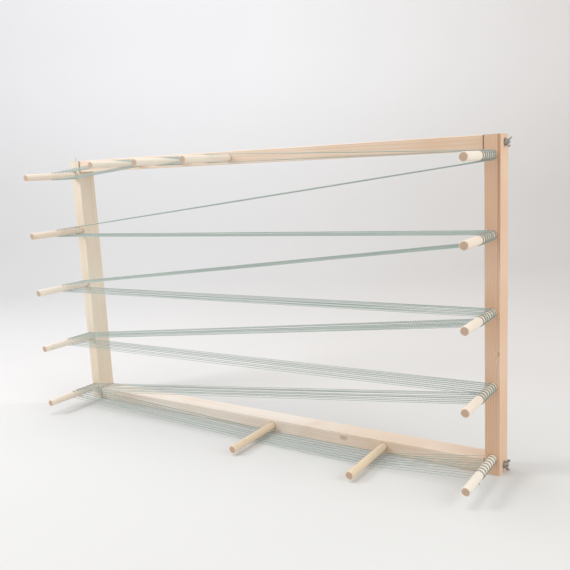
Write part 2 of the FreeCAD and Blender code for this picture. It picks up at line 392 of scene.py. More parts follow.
def timber_material(name, grain, low, high, heart, knots, settings, tints, sockets):
    """Planed pine for one bar.

    grain is the axis the fibres follow, low and high the bar's box, heart the place of the tree's
    middle across the grain, knots a list of (place, radius), tints the early and late wood's colours,
    and sockets the places of the peg holes as (x, z).
    """
    material, tree, shader = new_material(name)
    place = object_place(tree)
    parts = split(place)
    across = [axis for axis in range(3) if axis != grain]
    slow = noise(stretch(place, by_grain(grain, 1.0, 0.09)), 16.0, 2.0)
    drift = (slow - 0.5) * (9 * MM)
    rings = distance_from([parts[axis] for axis in across], heart) + drift
    rings = rings + (noise(join(tree, rings, heart[0], 0.0), 80.0, 1.0) - 0.5) * (6 * MM)
    knot_mask = None
    squeeze = by_grain(grain, 1.0, 0.55)
    for centre, radius in knots:
        away = distance_from([parts[axis] * squeeze[axis] for axis in range(3)],
                             [centre[axis] * squeeze[axis] for axis in range(3)])
        push = (away * (-1.0 / (radius * 2.2))).sum("EXPONENT") * (radius * 2.6)
        rings = rings + push
        inside = away.ramp(radius * 1.15, radius * 0.7)
        knot_mask = inside if knot_mask is None else knot_mask.most(inside)
    year = (rings / settings.ring_spacing).part()
    late = year.ramp(0.35, 0.9) * year.ramp(1.0, 0.93)
    year_number = (rings / settings.ring_spacing).sum("FLOOR")
    year_strength = noise(join(tree, year_number * 0.37, heart[0], 0.0), 3.0, 0.0)
    late = late * (year_strength * 0.8 + 0.5)
    fibre = noise(stretch(place, by_grain(grain, 900.0, 14.0)), 1.0, 3.0, 0.6)
    streak = noise(stretch(place, by_grain(grain, 160.0, 3.0)), 1.0, 2.0)
    # The early wood turns deeper and redder a little at random, and mostly toward +X as painted shade
    # of the light falling off from the left
    tone_and_shade = (noise(place, 6.0, 2.0).ramp(0.35, 0.65) * 0.3 + parts[0].ramp(0.0, 0.49) * 0.7).bound()
    early, late_wood = tints
    early_colour = blend(tone_and_shade, colour(*early), colour(*deeper(early)))
    base = blend((late * settings.ring_contrast).bound(), early_colour, colour(*late_wood))
    base = blend(streak.ramp(0.45, 0.8) * 0.22, base, colour(222, 180, 148))
    base = blend(fibre.ramp(0.5, 0.8) * 0.18, base, colour(196, 154, 116))
    room = [(part - under).least(over - part) for part, under, over in zip(parts, low, high)]
    ends = room[grain].ramp(0.5 * MM, 0.15 * MM)
    pores = noise(place, 1500.0, 1.0)
    base = blend(ends * (pores * 0.35 + 0.3), base, colour(196, 158, 120))
    edge = room[across[0]] + room[across[1]]
    rub = noise(place, 90.0, 3.0, 0.6)
    worn = settings.wear_width
    wear = (edge - (rub - 0.4) * worn).ramp(worn, 0.2 * worn)
    base = blend(wear * 0.4, base, colour(246, 228, 204))
    grime = noise(place, 13.0, 4.0, 0.65)
    base = blend(grime.ramp(0.56, 0.8) * 0.16, base, colour(190, 160, 130))
    front = (parts[1] - low[1]).ramp(1.5 * MM, 0.5 * MM)
    hole = None
    for x, z in sockets:
        away = distance_from([parts[0], parts[2]], (x, z))
        hole = away if hole is None else hole.least(away)
    # Painted shade round each peg's base on the front face, where the peg casts shade and meets its
    # hole, with some dirt in the gap
    socket_shade_and_dirt = hole.ramp(PEG_RADIUS + 1.8 * MM, PEG_RADIUS + 0.3 * MM) * front
    base = blend(socket_shade_and_dirt * (rub * 0.5 + 0.35), base, colour(150, 108, 76))
    if grain == 0:
        # Painted shade: a rail's end is darker along its joint with the post, whose front stands proud
        # of it
        base = blend(room[grain].ramp(3.4 * MM, 2.0 * MM) * 0.8, base, colour(112, 76, 52))
    else:
        # The right post's outer front corner is streaked darker, more so higher up
        corner = (parts[0] - POST_OUTER).size().ramp(6.5 * MM, 3.5 * MM) * front
        streaked = corner * parts[2].ramp(0.16, 0.44) * streak.ramp(0.25, 0.6)
        base = blend(streaked * 0.6, base, colour(172, 118, 82))
    swirl = noise(place, 420.0, 2.0)
    base = blend(knot_mask * (swirl * 0.4 + 0.2), base, colour(172, 122, 86))
    rough = 0.58 + late * -0.1 + fibre * 0.12 + wear * -0.06
    chatter = (parts[grain] * (2 * math.pi / (3.1 * MM))).sum("SINE") * 0.06
    height = late * 0.25 + fibre * 0.55 + chatter + pores * ends * 0.5 + knot_mask * 0.4
    wire(tree, shader, base, rough, relief(height, 0.12 * MM, 0.7), 0.35)
    return material


def peg_material(name):
    """Turned birch rod for the pegs: fine straight grain, darker open pores at the sawn ends."""
    material, tree, shader = new_material(name)
    place = object_place(tree)
    x, y, z = split(place)
    drift = (noise(stretch(place, (1.0, 0.12, 1.0)), 30.0, 2.0) - 0.5) * (5 * MM)
    rings = distance_from([x, z * 0.62], (0.93, -0.41)) + drift
    year = (rings / (1.7 * MM)).part()
    late = year.ramp(0.5, 0.92) * year.ramp(1.0, 0.94)
    fibre = noise(stretch(place, (1100.0, 18.0, 1100.0)), 1.0, 3.0, 0.6)
    fleck = noise(stretch(place, (420.0, 60.0, 420.0)), 1.0, 1.0)
    each = noise(stretch(place, (9.0, 0.6, 9.0)), 1.0, 1.0)
    base = blend(each.ramp(0.3, 0.7), colour(238, 228, 214), colour(233, 217, 199))
    # The lower rail's pegs, which lie below all the others, are painted darker
    base = blend(z.ramp(22.2 * MM, 20.5 * MM), base, colour(230, 209, 180))
    base = blend(late * 0.16, base, colour(205, 176, 140))
    base = blend(fibre.ramp(0.5, 0.85) * 0.22, base, colour(206, 176, 142))
    base = blend(fleck.ramp(0.66, 0.8) * 0.25, base, colour(190, 154, 116))
    from_tip = y + (PEG_REACH - POST_FRONT)
    free_end = from_tip.ramp(2.5 * MM, 0.4 * MM)
    on_rail = x.size().ramp(460 * MM, 440 * MM)
    rail_sawn = (from_tip - RAIL_INSET).ramp(0.35 * MM, 0.1 * MM)
    sawn = from_tip.ramp(0.35 * MM, 0.1 * MM).most(rail_sawn * on_rail)
    pores = noise(place, 2100.0, 1.0)
    base = blend(free_end * 0.15, base, colour(206, 176, 142))
    base = blend(sawn * (pores * 0.5 + 0.55), base, colour(186, 156, 132))
    grime = noise(place, 45.0, 3.0, 0.6)
    base = blend(grime.ramp(0.58, 0.8) * 0.2, base, colour(196, 168, 136))
    # Painted shade under the pairs of ends where they bear on a side peg, with the wood pressed darker
    # there
    reach = POST_FRONT - FIRST_END - PAIR_GAP / 2 - y
    beat = ((reach / PAIR_PITCH + 0.5).part() - 0.5).size() * PAIR_PITCH
    width = PAIR_PITCH * (END_COUNT // 2)
    within = reach.ramp(-4 * MM, -2 * MM) * reach.ramp(width + 4.4 * MM, width + 1.4 * MM)
    coil_shade_and_marks = beat.ramp(2.6 * MM, 1.2 * MM) * within
    side_peg_shade_zone = x.size().ramp(POST_X - 7 * MM, POST_X - 2 * MM)
    base = blend(coil_shade_and_marks * side_peg_shade_zone * (grime * 0.4 + 0.38), base, colour(118, 96, 80))
    rough = 0.5 + fibre * 0.15 + sawn * 0.2
    height = fibre * 0.5 + late * 0.15 + pores * sawn * 0.8
    wire(tree, shader, base, rough, relief(height, 0.1 * MM, 0.6), 0.35)
    return material


def metal_material(name):
    """Dull zinc plate on steel, with blotches and fine scratches."""
    material, tree, shader = new_material(name)
    place = object_place(tree)
    cloud = noise(place, 260.0, 3.0, 0.6)
    scratch = noise(stretch(place, (700.0, 6000.0, 900.0)), 1.0, 2.0)
    pit = noise(place, 1800.0, 2.0)
    base = blend(cloud.ramp(0.35, 0.7), colour(178, 175, 166), colour(146, 143, 135))
    base = blend(scratch.ramp(0.6, 0.75) * 0.4, base, colour(206, 204, 196))
    base = blend(pit.ramp(0.62, 0.78) * 0.35, base, colour(104, 98, 90))
    height = cloud * 0.4 + pit * 0.5
    wire(tree, shader, base, 0.36 + cloud * 0.22, relief(height, 0.06 * MM, 0.6), 0.5)
    shader.inputs["Metallic"].default_value = 0.9
    return material


def yarn_material(name, settings):
    """Two-ply cotton yarn in pale mint, its plies drawn by the lay that the tube carries.

    It is painted darker with shade where it wraps a side peg and in the grooves between its plies, and
    painted lighter with highlights on its fibres.
    """
    material, tree, shader = new_material(name)
    place = object_place(tree)
    x, _, _ = split(place)
    lay = add_node(tree, "ShaderNodeAttribute", {"attribute_name": "lay"}, None, "Vector")
    along = add_node(tree, "ShaderNodeAttribute", {"attribute_name": "along"}, None, "Fac")
    side, up, _ = split(lay)
    phase = along * (2 * math.pi / settings.lay_pitch)
    double_cosine = side * side - up * up
    double_sine = side * up * 2.0
    ply = (double_cosine * phase.sum("COSINE") + double_sine * phase.sum("SINE")) * 0.5 + 0.5
    fibre = noise(place, 5200.0, 2.0, 0.6)
    round_angle = up.sum("ARCTAN2", side)
    strands = (round_angle * 16.0 - phase * 4.0 + fibre * 4.0).sum("SINE") * 0.5 + 0.5
    tint = noise(place, 22.0, 2.0)
    base = blend(tint.ramp(0.3, 0.7), colour(180, 195, 187), colour(191, 204, 196))
    # Painted shade where the yarn wraps a side peg
    side_peg_shade_zone = x.size().ramp(POST_X - 16 * MM, POST_X - 4 * MM)
    base = blend(side_peg_shade_zone * 0.4, base, colour(126, 124, 114))
    # Painted shade in the grooves between the two plies
    base = blend((1.0 - ply).power(1.6) * 0.75, base, colour(112, 128, 120))
    # Painted highlights on the fibres along the ply crowns and on loose fibres
    base = blend(strands * ply * 0.35, base, colour(216, 228, 220))
    base = blend(fibre.ramp(0.5, 0.75) * 0.25, base, colour(222, 230, 224))
    height = ply * 0.7 + strands * 0.12 + fibre * 0.18
    wire(tree, shader, base, 0.78 + fibre * 0.15, relief(height, 0.45 * MM, 1.0), 0.2)
    shader.inputs["Sheen Weight"].default_value = 0.25
    return material


def backdrop_material(name):
    """Pale paper whose colour changes where the floor sheet ends; painted light makes the wall lighter
    higher up, and painted shade makes it darker toward the right.
    """
    material, tree, shader = new_material(name)
    place = object_place(tree)
    x, y, z = split(place)
    # The floor sheet's far edge runs aslant behind the frame
    sheet_end = (y - x * 0.489 - 0.172).ramp(0.0, 6 * MM)
    cloud = noise(place, 1.3, 2.0)
    across = (x + y * 0.3).ramp(-1.6, 1.2)
    floor = blend(across, colour(216, 216, 216), colour(217, 215, 212))
    # Painted shade: the wall darkens toward the right
    low_wall = blend(across, colour(222, 221, 221), colour(218, 214, 210))
    high_wall = blend(across, colour(241, 241, 243), colour(239, 236, 234))
    # Painted light: the wall lightens higher up
    wall = blend(z.ramp(0.1, 1.3), low_wall, high_wall)
    paper = blend(sheet_end, floor, wall)
    paper = blend(cloud.ramp(0.3, 0.7) * 0.12, paper, colour(232, 231, 230))
    wire(tree, shader, paper, 0.9, None, 0.1)
    return material


# ---- shapes

def add_object(name, data):
    """A mesh, curve, light or camera as an object in the scene, at the origin."""
    thing = bpy.data.objects.new(name, data)
    bpy.context.scene.collection.objects.link(thing)
    return thing


def settle(shaped, name):
    """Turn a shaped object into a plain mesh object and drop the one with the modifiers."""
    bpy.context.view_layer.update()
    graph = bpy.context.evaluated_depsgraph_get()
    mesh = bpy.data.meshes.new_from_object(shaped.evaluated_get(graph), preserve_all_data_layers=True,
                                           depsgraph=graph)
    mesh.name = name
    bpy.data.objects.remove(shaped)
    return add_object(name, mesh)


def path_object(name, paths):
    """An object whose edges follow the given paths, each a (points, closed) pair."""
    mesh = bpy.data.meshes.new(name)
    points = []
    edges = []
    for line, closed in paths:
        first = len(points)
        points += line
        edges += [(first + i, first + i + 1) for i in range(len(line) - 1)]
        if closed:
            edges.append((first + len(line) - 1, first))
    mesh.from_pydata(points, edges, [])
    return add_object(name, mesh)


def add_group(name, floats, integers=()):
    """A geometry tree with named inputs for numbers and one for a material; gives it and its inputs."""
    tree = bpy.data.node_groups.new(name, "GeometryNodeTree")
    inputs = [("Geometry", "Geometry")] + [(label, "Float") for label in floats]
    inputs += [(label, "Int") for label in integers] + [("Material", "Material")]
    for label, kind in inputs:
        tree.interface.new_socket(label, in_out="INPUT", socket_type="NodeSocket" + kind)
    tree.interface.new_socket("Geometry", in_out="OUTPUT", socket_type="NodeSocketGeometry")
    entry = tree.nodes.new("NodeGroupInput")
    given = {place.name: Value(tree, place) for place in entry.outputs if place.name}
    return tree, given


def finish_group(tree, geometry, material):
    """End a geometry tree: real meshes, smooth shading and one material."""
    real = add_node(tree, "GeometryNodeRealizeInstances", None, {0: geometry})
    smooth = add_node(tree, "GeometryNodeSetShadeSmooth", None, {"Geometry": real})
    painted = add_node(tree, "GeometryNodeSetMaterial", None,
                       {"Geometry": smooth, "Material": material})
    last = tree.nodes.new("NodeGroupOutput")
    connect(tree, painted, last.inputs[0])


def yarn_tree():
    """Geometry tree that lays a yarn of uneven thickness along every path."""
    tree, given = add_group("Yarn along a path", ("Radius", "Slub"), ("Sides", "Seed"))
    line = add_node(tree, "GeometryNodeMeshToCurve", None, {"Mesh": given["Geometry"]})
    length = add_node(tree, "GeometryNodeSplineParameter", None, None, "Length")
    shift = given["Seed"] * 17.3
    lumps = add_node(tree, "ShaderNodeTexNoise", {"noise_dimensions": "1D"},
                     {"W": length * 9.0 + shift, "Scale": 5.0, "Detail": 2.0})
    thickness = given["Radius"] * ((lumps - 0.5) * given["Slub"] * 2.0 + 1.0)
    line = add_node(tree, "GeometryNodeSetCurveRadius", None, {"Curve": line, "Radius": thickness})
    line = add_node(tree, "GeometryNodeStoreNamedAttribute", {"data_type": "FLOAT", "domain": "POINT"},
                    {"Geometry": line, "Name": "along", "Value": length})
    ring = add_node(tree, "GeometryNodeCurvePrimitiveCircle", {"mode": "RADIUS"},
                    {"Resolution": given["Sides"], "Radius": 1.0})
    spot = add_node(tree, "GeometryNodeInputPosition")
    ring = add_node(tree, "GeometryNodeStoreNamedAttribute",
                    {"data_type": "FLOAT_VECTOR", "domain": "POINT"},
                    {"Geometry": ring, "Name": "lay", "Value": spot})
    tube = add_node(tree, "GeometryNodeCurveToMesh", None,
                    {"Curve": line, "Profile Curve": ring, "Fill Caps": True})
    if "Scale" in tube.socket.node.inputs:
        radius = add_node(tree, "GeometryNodeInputRadius")
        connect(tree, radius, tube.socket.node.inputs["Scale"])
    finish_group(tree, tube, given["Material"])
    return tree


def thread_tree():
    """Geometry tree that cuts a right-handed thread into the close rings of a rod along X."""
    numbers = ("Pitch", "Depth", "Start", "End", "Outward", "Level Y", "Level Z")
    tree, given = add_group("Cut thread", numbers)
    spot = add_node(tree, "GeometryNodeInputPosition")
    x, y, z = split(spot)
    y = y - given["Level Y"]
    z = z - given["Level Z"]
    along = x * given["Outward"]
    angle = (z * given["Outward"]).sum("ARCTAN2", y)
    phase = (along / given["Pitch"] - angle / (2 * math.pi)).part()
    tooth = ((phase - 0.5).size() * 2.4 - 0.2).bound()
    # The thread comes in over 0.5 mm at its root and runs out over 0.7 mm at the stud's end
    fade = ((along - given["Start"]) * 2000.0).bound() * ((given["End"] - along) * 1400.0).bound()
    reach = (y * y + z * z).root()
    on_rod = ((reach - STUD_RADIUS * 0.9) * 4000.0).bound()
    cut = tooth * fade * on_rod * given["Depth"]
    inward = join(tree, 0.0, (y / reach) * -cut, (z / reach) * -cut)
    moved = add_node(tree, "GeometryNodeSetPosition", None,
                     {"Geometry": given["Geometry"], "Offset": inward})
    finish_group(tree, moved, given["Material"])
    return tree


def apply_tree(thing, tree, **values):
    """Add a geometry tree to an object and set its inputs by their names."""
    modifier = thing.modifiers.new(tree.name, "NODES")
    modifier.node_group = tree
    for item in tree.interface.items_tree:
        if item.item_type != "SOCKET" or item.in_out != "INPUT":
            continue
        if item.name in values:
            modifier[item.identifier] = values[item.name]


def lathe(shape, profile, segments, cell):
    """Turn a closed profile of (radius, height) pairs round Z and add it to a mesh, moved by cell."""
    rings = []
    for radius, height in profile:
        if radius <= 0:
            rings.append([shape.verts.new(cell @ Vector((0, 0, height)))])
            continue
        ring = []
        for step in range(segments):
            angle = 2 * math.pi * step / segments
            spot = Vector((radius * math.cos(angle), radius * math.sin(angle), height))
            ring.append(shape.verts.new(cell @ spot))
        rings.append(ring)
    for lower, upper in zip(rings, rings[1:]):
        for step in range(segments):
            following = (step + 1) % segments
            corners = [lower[step % len(lower)], lower[following % len(lower)],
                       upper[following % len(upper)], upper[step % len(upper)]]
            shape.faces.new(list(dict.fromkeys(corners)))


def outward_cell(sign, along, level):
    """The placement of a fitting: its own Z runs outward from the post."""
    turn = Matrix.Rotation(sign * math.pi / 2, 4, "Y")
    return Matrix.Translation((sign * along, RAIL_MIDDLE, level)) @ turn


def shape_object(shape, name):
    """A mesh under construction as an object, with its faces turned outward."""
    bmesh.ops.recalc_face_normals(shape, faces=shape.faces)
    for face in shape.faces:
        face.smooth = True
    mesh = bpy.data.meshes.new(name)
    shape.to_mesh(mesh)
    shape.free()
    return add_object(name, mesh)


# ---- the warp's route

def end_place(index):
    """Where an end lies along Y; the ends lie in pairs."""
    return POST_FRONT - (FIRST_END + PAIR_PITCH * (index // 2) + PAIR_GAP * (index % 2))


def shared_place(index, other):
    """Where an end lies on a peg on which it meets another one, if there is such an end."""
    if 0 <= other < END_COUNT:
        return (end_place(index) + end_place(other)) / 2
    return end_place(index)


def heading(centre, turn, following, next_turn):
    """Angle of the straight run from one peg to the next; turn is 1 anticlockwise, -1 clockwise."""
    step = following - centre
    sine = -WRAP_RADIUS * (next_turn - turn) / step.length
    return math.atan2(step.z, step.x) + math.asin(sine)


def touch(centre, turn, angle):
    """Where a run with that heading touches the circle that the yarn follows round a peg."""
    return centre + Vector((math.sin(angle), 0, -math.cos(angle))) * (turn * WRAP_RADIUS)


def warp_stops(index):
    """The pegs that one end rounds, from the lowest right peg up to the top left one."""
    even = index % 2 == 0
    place = end_place(index)
    start_place = shared_place(index, index + 1 if even else index - 1)
    finish_place = shared_place(index, index - 1 if even else index + 1)
    first_turn = -1 if even else 1
    stops = [(POST_X, start_place, ROW_LEVELS[0], first_turn)]
    stops += [(x, place, RAIL_LEVELS["bottom"], -1) for x in LOWER_PLACES]
    for row in range(ROW_COUNT - 1):
        stops.append((-POST_X, place, ROW_LEVELS[row], -1))
        stops.append((POST_X, place, ROW_LEVELS[row + 1], 1))
    turn = -first_turn
    for x in reversed(CROSS_PLACES):
        stops.append((x, place, RAIL_LEVELS["top"], turn))
        turn = -turn
    stops.append((-POST_X, finish_place, ROW_LEVELS[-1], -first_turn))
    return stops


def warp_route(index, settings):
    """The points that one end passes, with its own small wander and slack."""
    chance = random.Random(settings.seed * 100 + index)
    stops = warp_stops(index)
    centres = []
    for number, (x, y, z, _) in enumerate(stops):
        free = 0 < number < len(stops) - 1
        shift = 0.0
        if free:
            pair = random.Random(settings.seed * 1000 + (index // 2) * 50 + number)
            shift = pair.uniform(-1, 1) * settings.wander + chance.uniform(-0.25, 0.25) * PAIR_GAP
        centres.append(Vector((x, y + shift, z)))
    turns = [stop[3] for stop in stops]
    angles = [heading(centres[i], turns[i], centres[i + 1], turns[i + 1])
              for i in range(len(stops) - 1)]
    angles_in = [angles[0] - turns[0] * math.pi / 2] + angles
    angles_out = angles + [angles[-1] + turns[-1] * math.pi / 2]
    points = []
    for i, centre in enumerate(centres):
        bend = ((angles_out[i] - angles_in[i]) * turns[i]) % (2 * math.pi)
        steps = max(2, math.ceil(bend / settings.arc_step))
        for step in range(steps + 1):
            points.append(touch(centre, turns[i], angles_in[i] + turns[i] * bend * step / steps))
        if i + 1 == len(centres):
            break
        leave = points[-1]
        arrive = touch(centres[i + 1], turns[i + 1], angles_in[i + 1])
        run = (arrive - leave).length
        sag = settings.slack * chance.random() ** 2 * min(1.0, run / 0.9)
        steps = max(2, math.ceil(run / settings.run_step))
        for step in range(1, steps):
            share = step / steps
            drop = 4 * sag * share * (1 - share)
            points.append(leave.lerp(arrive, share) - Vector((0, 0, drop)))
    return points


def knot_centre(centre, out, aside):
    """The middle of a tie's knot, out from the peg and clear of the warp end beside it."""
    step_aside = Vector((0, 1, 0)) * (aside * (KNOT_DIAMETER - YARN_DIAMETER) / 2)
    return centre + out * (WRAP_RADIUS + KNOT_DIAMETER / 4) + step_aside


def tie_facts(end):
    """Middle of the tie, its outward direction, the knot's side and the tail's steps."""
    if end == "start":
        centre = Vector((-POST_X, end_place(0) + TIE_STEP, ROW_LEVELS[-1]))
        return centre, START_LEAN, 1, START_STEPS
    centre = Vector((POST_X, end_place(END_COUNT - 1) - TIE_STEP, ROW_LEVELS[0]))
    return centre, FINISH_LEAN, -1, FINISH_STEPS


def lean_vector(lean):
    """Direction that leans from upright toward +X."""
    return Vector((math.sin(lean), 0, math.cos(lean)))


def knot_path(centre, out, radius, steps=48):
    """A closed three-lobed path, as the strands run in a tight overhand knot."""
    sideways = Vector((0, 1, 0))
    third = out.cross(sideways)
    ring = radius * 0.6
    lobe = radius * 0.34
    points = []
    for step in range(steps):
        angle = 2 * math.pi * step / steps
        reach = ring + lobe * math.cos(3 * angle)
        flat = sideways * (reach * math.cos(2 * angle)) + out * (reach * math.sin(2 * angle))
        points.append(centre + flat + third * (lobe * math.sin(3 * angle)))
    return points


# ---- operators

class FrameOperator:
    """What every operator of the warping frame shares."""

    bl_options = {"REGISTER", "UNDO"}


class WARPING_OT_studio(FrameOperator, bpy.types.Operator):
    """Set up the camera, the soft light and the pale backdrop"""

    bl_idname = "warping.studio"
    bl_label = "Studio"

    def execute(self, context):
        settings = context.scene.warping_studio
        add_camera(settings)
        add_backdrop(settings)
        add_lights(settings)
        context.scene.view_settings.view_transform = "Standard"
        return {"FINISHED"}


def view_directions(settings):
    """The camera's forward, right and up directions."""
    yaw = settings.camera_yaw
    pitch = settings.camera_pitch
    level = math.cos(pitch)
    forward = Vector((-math.sin(yaw) * level, math.cos(yaw) * level, math.sin(pitch)))
    right = forward.cross(Vector((0, 0, 1))).normalized()
    up = right.cross(forward)
    cosine = math.cos(settings.camera_roll)
    sine = math.sin(settings.camera_roll)
    return forward, right * cosine + up * sine, up * cosine - right * sine


def add_camera(settings):
    """The camera at the viewing place."""
    forward, right, up = view_directions(settings)
    data = bpy.data.cameras.new("Camera")
    data.lens = settings.lens
    data.sensor_width = 36
    data.clip_start = 0.01
    camera = add_object("Camera", data)
    turn = Matrix((right, up, -forward)).transposed().to_4x4()
    camera.matrix_world = Matrix.Translation(settings.camera_place) @ turn
    bpy.context.scene.camera = camera


def add_backdrop(settings):
    """A floor that curves up into a wall behind the frame, as one sheet."""
    forward, _, _ = view_directions(settings)
    forward = Vector((forward.x, forward.y, 0)).normalized()
    right = forward.cross(Vector((0, 0, 1)))
    eye = Vector((settings.camera_place[0], settings.camera_place[1], 0))
    half_width = 7
    wall_top = 5
    behind_camera = -4
    curve_steps = 24
    profile = [(behind_camera, 0), (settings.curve_start, 0)]
    for step in range(1, curve_steps + 1):
        angle = step / curve_steps * math.pi / 2
        profile.append((settings.curve_start + settings.curve_radius * math.sin(angle),
                        settings.curve_radius * (1 - math.cos(angle))))
    profile.append((settings.curve_start + settings.curve_radius, wall_top))
    points = []
    for depth, height in profile:
        for side in (-half_width, half_width):
            points.append(eye + forward * depth + right * side + Vector((0, 0, height)))
    faces = [(2 * i, 2 * i + 1, 2 * i + 3, 2 * i + 2) for i in range(len(profile) - 1)]
    mesh = bpy.data.meshes.new("Backdrop")
    mesh.from_pydata(points, [], faces)
    for face in mesh.polygons:
        face.use_smooth = True
    mesh.materials.append(backdrop_material("Backdrop paper"))
    add_object("Backdrop", mesh)


def add_panel_light(name, power, place, target, width, height, tint=(1.0, 1.0, 1.0)):
    """One soft light panel that faces a target."""
    data = bpy.data.lights.new(name, "AREA")
    data.energy = power
    data.shape = "RECTANGLE"
    data.size = width
    data.size_y = height
    data.color = tint
    light = add_object(name, data)
    light.location = place
    light.visible_camera = False
    light.rotation_euler = (Vector(target) - Vector(place)).to_track_quat("-Z", "Y").to_euler()


def add_lights(settings):
    """Soft panels at the left, the right and overhead, in an even pale room."""
    add_panel_light("Left light", settings.key_power, (-1.7, -1.3, 1.6), (-0.3, 0, 0.3), 0.7, 0.7)
    add_panel_light("Right light", settings.side_power, (2.3, -0.1, 1.2), (0, 0, 0.3), 1.6, 1.4,
                    (0.93, 0.99, 1.0))
    add_panel_light("Wall light", settings.wall_power, (-1.2, 1.3, 2.6), (-2.6, 4.2, 1.0), 5.4, 1.6)
    add_panel_light("Top light", settings.top_power, (-0.4, -0.2, 2.4), (0, 0, 0), 1.8, 1.4)
    world = bpy.data.worlds.new("Room")
    world.use_nodes = True
    sky = next(node for node in world.node_tree.nodes if node.type == "BACKGROUND")
    sky.inputs["Color"].default_value = (0.99, 0.99, 1.0, 1.0)
    sky.inputs["Strength"].default_value = settings.sky_strength
    bpy.context.scene.world = world


class WARPING_OT_tails(FrameOperator, bpy.types.Operator):
    """Lay the two loose tails of the yarn"""

    bl_idname = "warping.tails"
    bl_label = "Tails"

    def execute(self, context):
        material = shared_yarn(context)
        for end in ("start", "finish"):
            centre, lean, aside, steps = tie_facts(end)
            out = lean_vector(lean)
            leave = knot_centre(centre, out, aside) + out * (KNOT_DIAMETER / 2)
            stops = [leave] + [leave + Vector(step) * MM for step in steps]
            add_tail(end, stops, material)
        return {"FINISHED"}


def add_tail(end, stops, material):
    """One loose tail as a free cord."""
    curve = bpy.data.curves.new(end + " tail", "CURVE")
    curve.dimensions = "3D"
    curve.bevel_depth = YARN_DIAMETER / 2
    curve.bevel_resolution = 3
    curve.use_fill_caps = True
    curve.resolution_u = 8
    spline = curve.splines.new("NURBS")
    spline.points.add(len(stops) - 1)
    for point, stop in zip(spline.points, stops):
        point.co = (*stop, 1.0)
    spline.order_u = 3
    spline.use_endpoint_u = True
    curve.materials.append(material)
    tail = add_object(end + "_tail_yarn", curve)
    length = sum((after - before).length for before, after in zip(stops, stops[1:])) * CURVE_SHARE
    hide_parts(end + "_tail")
    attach(tail, "frame")


def shared_yarn(context):
    """The yarn's material, made once."""
    name = "Mint yarn"
    if name not in bpy.data.materials:
        yarn_material(name, context.scene.warping_yarn)
    return bpy.data.materials[name]


class WARPING_OT_warp(FrameOperator, bpy.types.Operator):
    """Wind the ends of the warp round the pegs"""

    bl_idname = "warping.warp"
    bl_label = "Warp"

    def execute(self, context):
        settings = context.scene.warping_yarn
        material = shared_yarn(context)
        tree = yarn_tree()
        for index in range(END_COUNT):
            name = "warp_end_{:02d}".format(index + 1)
            path = path_object(name + " path", [(warp_route(index, settings), False)])
            apply_tree(path, tree, Radius=YARN_DIAMETER / 2, Slub=settings.slub, Sides=settings.sides,
                       Seed=settings.seed + index, Material=material)
            piece = settle(path, name + "_yarn")
            dress(piece, name, "frame")
        for end in ("start", "finish"):
            self.add_tie(end, settings, tree, material)
        return {"FINISHED"}

    def add_tie(self, end, settings, tree, material):
        """The ring of yarn that holds one end of the warp, with its knot."""
        centre, lean, aside, _ = tie_facts(end)
        out = lean_vector(lean)
        steps = 40
        angles = [2 * math.pi * step / steps for step in range(steps)]
        ring = [centre + Vector((math.cos(a), 0, math.sin(a))) * WRAP_RADIUS for a in angles]
        knot = knot_path(knot_centre(centre, out, aside), out, KNOT_DIAMETER / 2)
        path = path_object(end + " tie path", [(ring, True), (knot, True)])
        apply_tree(path, tree, Radius=YARN_DIAMETER * TIE_SHARE, Slub=0.05, Sides=settings.sides,
                   Seed=settings.seed, Material=material)
        piece = settle(path, end + "_tie_yarn")
        dress(piece, end + "_tie", "frame")


def dress(piece, node, body):
    """Let a finished piece stand for a CAD node."""
    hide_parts(node)
    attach(piece, body)


class WARPING_OT_timbers(FrameOperator, bpy.types.Operator):
    """Give the posts and rails their planed pine"""

    bl_idname = "warping.timbers"
    bl_label = "Timbers"

    def execute(self, context):
        settings = context.scene.warping_timber
        for name, (heart, early, late, knots) in BARS.items():
            low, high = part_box(name)
            side, _, kind = name.partition("_")
            if kind == "post":
                sockets = [(SIDES[side] * POST_X, z) for z in ROW_LEVELS]
            else:
                sockets = [(x, RAIL_LEVELS[side]) for x in RAIL_PEGS[side]]
            grain = 2 if kind == "post" else 0
            material = timber_material("Pine " + side + " " + kind, grain, low, high, heart, knots,
                                       settings, (early, late), sockets)
            repaint(name, material)
        return {"FINISHED"}


def repaint(node, material):
    """Give a CAD node another material in its own slots."""
    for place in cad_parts[node].material_slots:
        place.material = material


class WARPING_OT_pegs(FrameOperator, bpy.types.Operator):
    """Give the pegs and the hidden dowels their birch"""

    bl_idname = "warping.pegs"
    bl_label = "Pegs"

    def execute(self, context):
        material = peg_material("Birch rod")
        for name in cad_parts:
            if "_peg_" in name or name.startswith("dowels_"):
                repaint(name, material)
        return {"FINISHED"}


